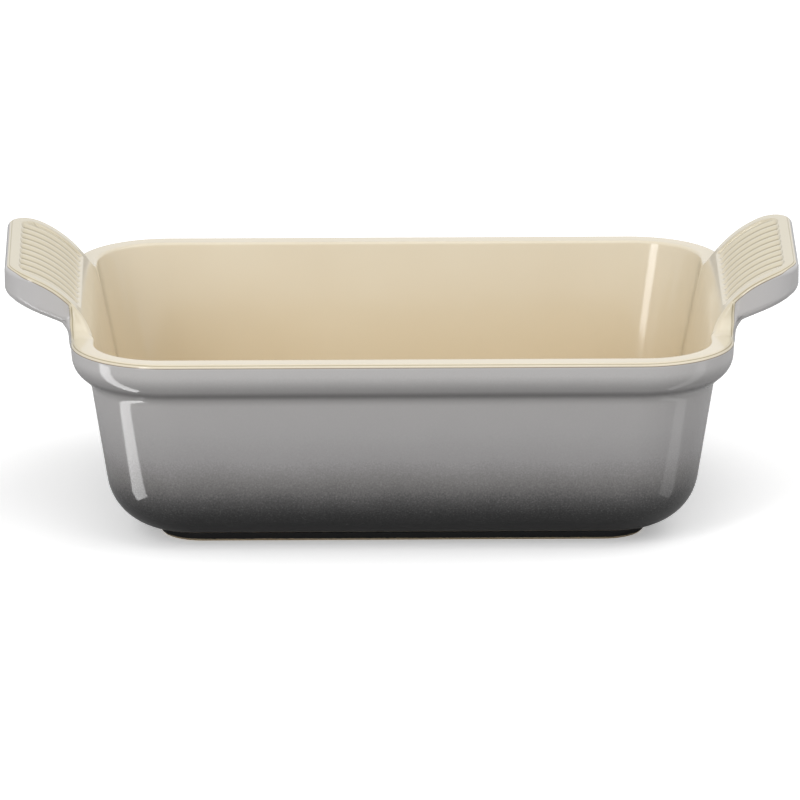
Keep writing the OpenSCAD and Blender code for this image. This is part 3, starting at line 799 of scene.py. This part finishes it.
def grey_glaze():
    """Grey gloss glaze, sprayed: it darkens from mid wall to foot, the border blurred by specks and by
    drifts about 9 mm across. The specks are drawn 0.4 mm across, coarser than they are, to show. It
    is paler on the handles, and runs out tan at its edge. Two darker bands in the hollow under the
    collar are painted shade of the collar's overhang, with a little pooled glaze in them."""
    m = new_material("grey_ombre_gloss_glaze")
    place = add(m, "ShaderNodeTexCoord").outputs["Object"]
    xyz = add(m, "ShaderNodeSeparateXYZ", Vector=place).outputs
    edge = add(m, "ShaderNodeAttribute", {"attribute_name": "edge_mm"}).outputs["Fac"]
    speck = add(m, "ShaderNodeTexNoise", Vector=place, Scale=spots(0.36), Detail=2.0).outputs["Fac"]
    drift = add(m, "ShaderNodeTexNoise", Vector=place, Scale=spots(9), Detail=3.0).outputs["Fac"]
    level = xyz["Z"]
    for noise, throw in ((speck, 0.010), (drift, 0.004)):
        off = add(m, "ShaderNodeMath", {"operation": "SUBTRACT"}, _0=noise, _1=0.5).outputs[0]
        blur = add(m, "ShaderNodeMath", {"operation": "MULTIPLY_ADD"}, _0=off, _1=throw, _2=level)
        level = blur.outputs[0]
    level = add(m, "ShaderNodeMapRange", Value=level, From_Min=0.0, From_Max=0.08).outputs["Result"]
    stops = [
        (0.05, "#151515"), (0.13, "#222222"), (0.2, "#373737"), (0.28, "#565555"), (0.38, "#7f7d7c"),
        (0.5, "#9f9d9d"), (0.65, "#acaaaa"), (0.85, "#b5b3b2"), (1.0, "#c0bebd"),
    ]
    colour = add(m, "ShaderNodeValToRGB", {"stops": stops}, Fac=level).outputs["Color"]
    colour = tinted(m, colour, [
        (speck, 0.6, 0.75, 0.0, 0.05, "#c4c2c0"),
        # Paler on the handles.
        (away_from(m, xyz["X"], 0.0), 0.110, 0.136, 0.0, 0.2, "#d8d6d8"),
        # Painted shade: two darker bands in the hollow under the collar, where its overhang shades the
        # wall, with a little pooled glaze.
        (away_from(m, xyz["Z"], 0.0692), 0.0, 0.0026, 0.5, 0.0, "#3e3d3d"),
        (away_from(m, xyz["Z"], 0.0718), 0.0, 0.0075, 0.32, 0.0, "#3e3d3d"),
        (away_from(m, edge, 0.0), 0.0, 0.3, 1.0, 0.0, "#857868"),
    ])
    bump = add(m, "ShaderNodeBump", Height=drift, Strength=0.12, Distance=0.0001).outputs["Normal"]
    shader = add(m, "ShaderNodeBsdfPrincipled", Base_Color=colour, Normal=bump, Roughness=0.1, IOR=1.5)
    add(m, "ShaderNodeOutputMaterial", Surface=shader.outputs["BSDF"])
    return m


grey = coat_shell("grey_glaze_coat", tri[is_grey])
grey.data.materials.append(grey_glaze())
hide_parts("outer_glaze")

# The underside: the dark glazed panel inside the foot ring, and the cast ring itself, which is dark
# glazed on its sides and ground bare where the dish stands. Both are the CAD solids as they are.


def dark_glaze():
    """Near black gloss glaze, sprayed, with the same fine speckle."""
    m = new_material("dark_gloss_glaze")
    place = add(m, "ShaderNodeTexCoord").outputs["Object"]
    speck = add(m, "ShaderNodeTexNoise", Vector=place, Scale=spots(0.36), Detail=2.0).outputs["Fac"]
    stops = [(0.4, "#1b1b1b"), (0.75, "#343333")]
    colour = add(m, "ShaderNodeValToRGB", {"stops": stops}, Fac=speck).outputs["Color"]
    shader = add(m, "ShaderNodeBsdfPrincipled", Base_Color=colour, Roughness=0.15, IOR=1.5)
    add(m, "ShaderNodeOutputMaterial", Surface=shader.outputs["BSDF"])
    return m


def ground_foot():
    """Dark glaze on the ring's sides, wiped off about 0.9 mm above the ground edge, and below that
    bare buff clay, matt, with grains about 0.6 mm across that also ruffle the glaze's end."""
    m = new_material("foot_ground_stoneware")
    place = add(m, "ShaderNodeTexCoord").outputs["Object"]
    height = add(m, "ShaderNodeSeparateXYZ", Vector=place).outputs["Z"]
    grain = add(m, "ShaderNodeTexNoise", Vector=place, Scale=spots(0.6), Detail=3.0).outputs["Fac"]
    ruffle = add(m, "ShaderNodeMath", {"operation": "MULTIPLY_ADD"}, _0=grain, _1=0.0004, _2=height)
    glazed = add(
        m, "ShaderNodeMapRange", {"interpolation_type": "SMOOTHSTEP"},
        Value=ruffle.outputs[0], From_Min=0.001, From_Max=0.0012,
    ).outputs["Result"]
    stops = [(0.3, "#bfa987"), (0.7, "#d8c8aa")]
    bare = add(m, "ShaderNodeValToRGB", {"stops": stops}, Fac=grain).outputs["Color"]
    colour = add(m, "ShaderNodeMix", {"data_type": "RGBA"}, _0=glazed, _6=bare, _7="#1a1a1a").outputs[2]
    gloss = add(
        m, "ShaderNodeMapRange", {"interpolation_type": "SMOOTHSTEP"},
        Value=glazed, From_Min=0.0, From_Max=1.0, To_Min=0.85, To_Max=0.2,
    ).outputs["Result"]
    shader = add(m, "ShaderNodeBsdfPrincipled", Base_Color=colour, Roughness=gloss, IOR=1.5)
    add(m, "ShaderNodeOutputMaterial", Surface=shader.outputs["BSDF"])
    return m


coat_node("base_glaze", dark_glaze())
coat_node("foot_ring", ground_foot())

# The table: matt paper, wide enough to fill the picture. It is white to the camera alone and grey to
# all other rays, so that it doesn't light the dish too much from below.
TABLE_HALF = 4


def white_paper():
    """Matt paper that shows white to the camera, with a little light of its own there."""
    m = new_material("white_paper")
    seen = add(m, "ShaderNodeLightPath").outputs["Is Camera Ray"]
    colour = add(m, "ShaderNodeMix", {"data_type": "RGBA"}, _0=seen, _6="#b4b4b4", _7="#fafafa")
    glow = add(m, "ShaderNodeMath", {"operation": "MULTIPLY"}, _0=seen, _1=0.32)
    shader = add(
        m, "ShaderNodeBsdfPrincipled", Base_Color=colour.outputs[2], Roughness=0.9,
        Emission_Color="#ffffff", Emission_Strength=glow.outputs[0],
    )
    add(m, "ShaderNodeOutputMaterial", Surface=shader.outputs["BSDF"])
    return m


floor_mesh = bpy.data.meshes.new("floor")
corners = [(x * TABLE_HALF, y * TABLE_HALF, 0) for x, y in ((-1, -1), (1, -1), (1, 1), (-1, 1))]
floor_mesh.from_pydata(corners, [], [(0, 1, 2, 3)])
floor_mesh.materials.append(white_paper())
floor = placed("floor", floor_mesh)

# The camera: a long lens far from the dish, as fitted to the photograph. Its focal length and shifts
# are in pixels of the photograph, and it looks at the middle of the dish's height up to the rim.
PICTURE_PX = 800
FOCAL_PX = 12811
SHIFT_X_PX = -1.08
SHIFT_Y_PX = -1.79
SENSOR = 36
DISTANCE = 5.226
TILT = math.radians(15.588)
SWING = math.radians(-0.604)
ROLL = math.radians(-0.103)

back = np.array([math.sin(SWING) * math.cos(TILT), -math.cos(SWING) * math.cos(TILT), math.sin(TILT)])
level_x = np.array([math.cos(SWING), math.sin(SWING), 0])
level_y = np.cross(back, level_x)
stand = np.eye(4)
stand[:3, 0] = level_x * math.cos(ROLL) + level_y * math.sin(ROLL)
stand[:3, 1] = level_y * math.cos(ROLL) - level_x * math.sin(ROLL)
stand[:3, 2] = back
stand[:3, 3] = np.array([0, 0, RIM / 2000]) + back * DISTANCE
lens = bpy.data.cameras.new("camera")
lens.sensor_width = SENSOR
lens.lens = FOCAL_PX / PICTURE_PX * SENSOR
lens.shift_x = SHIFT_X_PX / PICTURE_PX
lens.shift_y = SHIFT_Y_PX / PICTURE_PX
lens.clip_end = 50
camera = placed("camera", lens)
camera.matrix_world = Matrix(stand.tolist())
bpy.context.scene.camera = camera

# The light: a tall soft box in front to the left, which the inside mirrors at the back, a broad one
# overhead, and white surroundings.


def lamp(name, size, power, at, towards):
    """A soft box of a size in metres, turned from its place towards a point."""
    data = bpy.data.lights.new(name, "AREA")
    data.shape = "RECTANGLE"
    data.size, data.size_y = size
    data.energy = power
    aim = (Vector(towards) - Vector(at)).to_track_quat("-Z", "Y")
    placed(name, data).matrix_world = Matrix.Translation(at) @ aim.to_matrix().to_4x4()


lamp("tall_box", (0.42, 1.5), 14, (-0.83, -1.48, 1.111), (0, 0, 1.111))
lamp("overhead_box", (2.2, 2.2), 17.5, (0.75, -0.4, 1.8), (0, 0, 0.05))

# Strips of light lie on the table outside the picture, bright at the left and faint at the right.
# Only the glaze mirrors them, low on the handles and at the corners of the collar
STRIP_Z = 0.001
strip_line = [
    (0.128, -0.097), (0.128, -0.078), (0.3, -0.09), (0.3, -0.15), (0.48, -0.095), (0.48, -0.13),
]
for name, side, strength in (("left_strip", -1, 6.0), ("right_strip", 1, 1.2)):
    strip_mesh = bpy.data.meshes.new(name)
    corners = [(side * x, y, STRIP_Z) for x, y in strip_line]
    strip_mesh.from_pydata(corners, [], [(0, 3, 2, 1), (3, 5, 4, 2)])
    front = new_material("soft_box_front")
    glow = add(
        front, "ShaderNodeBsdfPrincipled", Base_Color="#000000",
        Emission_Color="#ffffff", Emission_Strength=strength,
    )
    add(front, "ShaderNodeOutputMaterial", Surface=glow.outputs["BSDF"])
    strip_mesh.materials.append(front)
    strip = placed(name, strip_mesh)
    strip.visible_camera = False
    strip.visible_diffuse = False
    strip.visible_shadow = False

# The surroundings are white where the camera or the gloss sees them, and light the dish at 0.6 of it
AMBIENT = 0.6
world = bpy.data.worlds.new("studio")
bpy.context.scene.world = world
world.use_nodes = True
rays = add(world, "ShaderNodeLightPath").outputs
seen = add(
    world, "ShaderNodeMath", {"operation": "MAXIMUM"},
    _0=rays["Is Camera Ray"], _1=rays["Is Glossy Ray"],
)
light = add(
    world, "ShaderNodeMath", {"operation": "MULTIPLY_ADD"},
    _0=seen.outputs[0], _1=1 - AMBIENT, _2=AMBIENT,
)
background = world.node_tree.nodes["Background"]
background.inputs["Color"].default_value = linear("#ffffff")
world.node_tree.links.new(light.outputs[0], background.inputs["Strength"])
bpy.context.scene.view_settings.view_transform = "Standard"
